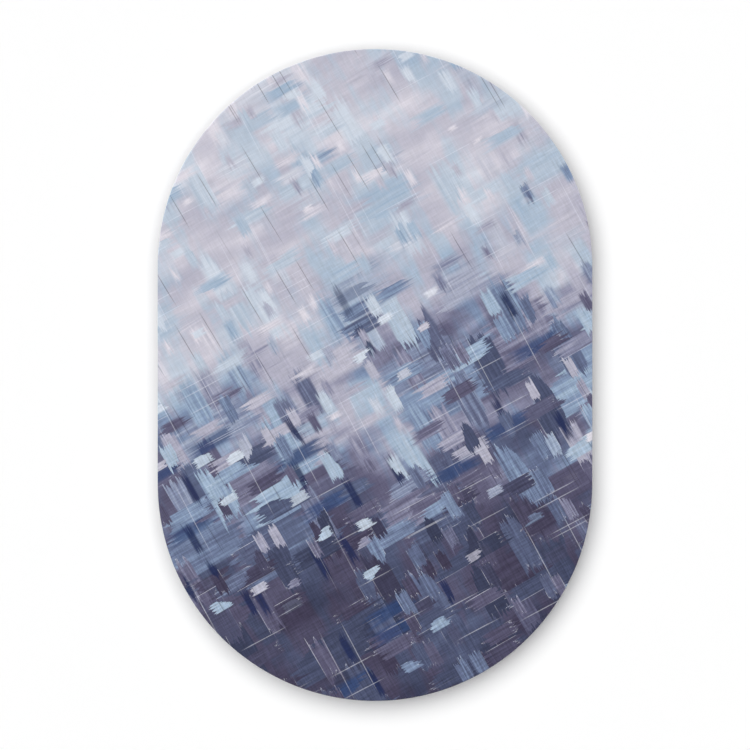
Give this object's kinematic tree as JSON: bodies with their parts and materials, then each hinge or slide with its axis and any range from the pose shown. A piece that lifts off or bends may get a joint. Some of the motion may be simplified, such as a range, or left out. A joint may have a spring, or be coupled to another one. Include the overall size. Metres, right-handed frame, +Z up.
{
  "type": "collapsible backdrop panel",
  "caption": "Stadium-shaped pop-up backdrop: spring-steel hoop in a boxed rim, printed front cloth, plain rear cloth, hanging eyelet tab and retaining strap; folds across its middle.",
  "frame": {"origin": "centre of the printed front face, on its surface", "axes": "+X to the right seen from the front, +Y out of the rear of the panel, +Z up towards the hanging tab"},
  "size_m": [1, 0.0166, 1.4998],
  "materials": {
    "printed_cloth": "matte",
    "blackout_lining": "matte",
    "rear_cloth": "matte",
    "edge_gusset": "matte",
    "rear_binding": "matte",
    "thread": "satin",
    "band_sleeve": "matte",
    "spring_steel": "satin",
    "ferrule_steel": "satin",
    "backing": "matte",
    "webbing": "satin",
    "elastic": "matte",
    "fleece_pad": "matte",
    "hook_pad": "matte",
    "nickel": "polished"
  },
  "bodies": {
    "upper": {"front_cloth_upper": "printed_cloth", "blackout_lining_upper": "blackout_lining", "rear_cloth_upper": "rear_cloth", "edge_gusset_upper": "edge_gusset", "rear_binding_upper": "rear_binding", "binding_stitching_upper": "thread", "front_seam_stitching_upper": "thread", "band_sleeve_upper": "band_sleeve", "spring_band_upper": "spring_steel", "hang_tab_root": "webbing", "hang_root_stitching": "thread", "hang_backing": "backing", "strap_root": "elastic", "strap_root_stitching": "thread", "strap_backing": "backing", "strap_fleece_pad": "fleece_pad"},
    "lower": {"front_cloth_lower": "printed_cloth", "blackout_lining_lower": "blackout_lining", "rear_cloth_lower": "rear_cloth", "edge_gusset_lower": "edge_gusset", "rear_binding_lower": "rear_binding", "binding_stitching_lower": "thread", "front_seam_stitching_lower": "thread", "band_sleeve_lower": "band_sleeve", "spring_band_lower": "spring_steel", "band_ferrule": "ferrule_steel", "ferrule_rivets": "ferrule_steel"},
    "hang_tab_flap": {"hang_tab": "webbing", "hang_tab_stitching": "thread", "hang_eyelet": "nickel", "hang_eyelet_washer": "nickel"},
    "strap_flap": {"retaining_strap": "elastic", "strap_hook_pad": "hook_pad"}
  },
  "joints": [
    {"name": "hoop_fold", "type": "hinge", "parent": "upper", "child": "lower", "pos_m": [0, 0, 0], "axis": [-1, 0, 0], "range_deg": [0, 170], "stiffness_Nm_per_rad": 1.5, "springref_deg": -20.05},
    {"name": "hang_tab_flip", "type": "hinge", "parent": "upper", "child": "hang_tab_flap", "pos_m": [0, 0.01395, 0.746], "axis": [1, 0, 0], "range_deg": [0, 180]},
    {"name": "strap_flip", "type": "hinge", "parent": "upper", "child": "strap_flap", "pos_m": [-0.3686, 0.0142, 0.58189], "axis": [0.6691, 0, 0.7431], "range_deg": [0, 180]}
  ]
}
